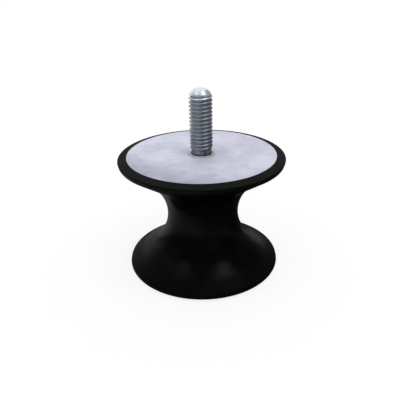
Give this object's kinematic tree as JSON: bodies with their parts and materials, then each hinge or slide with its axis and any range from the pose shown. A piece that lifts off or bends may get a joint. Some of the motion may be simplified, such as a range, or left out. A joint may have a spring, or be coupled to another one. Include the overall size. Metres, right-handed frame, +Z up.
{
  "type": "bobbin vibration mount",
  "caption": "Waisted rubber vibration mount bonded between two round steel plates, with a threaded stud on top and a tapped hole underneath.",
  "frame": {"origin": "centre of the bottom plate's outer face, at the base of the mount", "axes": "+Z up the axis, from the bottom plate to the stud's tip; the mount is round, so X and Y are free"},
  "size_m": [0.06, 0.06, 0.0654],
  "materials": {
    "rubber": "moulded natural rubber, black, slightly satin",
    "zinc_plate": "steel with a pale bluish zinc plating, faintly mottled",
    "stud_steel": "steel with a bright bluish zinc plating"
  },
  "bodies": {
    "root": {"rubber_body": "rubber", "top_plate": "zinc_plate", "threaded_stud": "stud_steel", "bottom_plate": "zinc_plate", "tapped_insert": "stud_steel"}
  },
  "joints": []
}
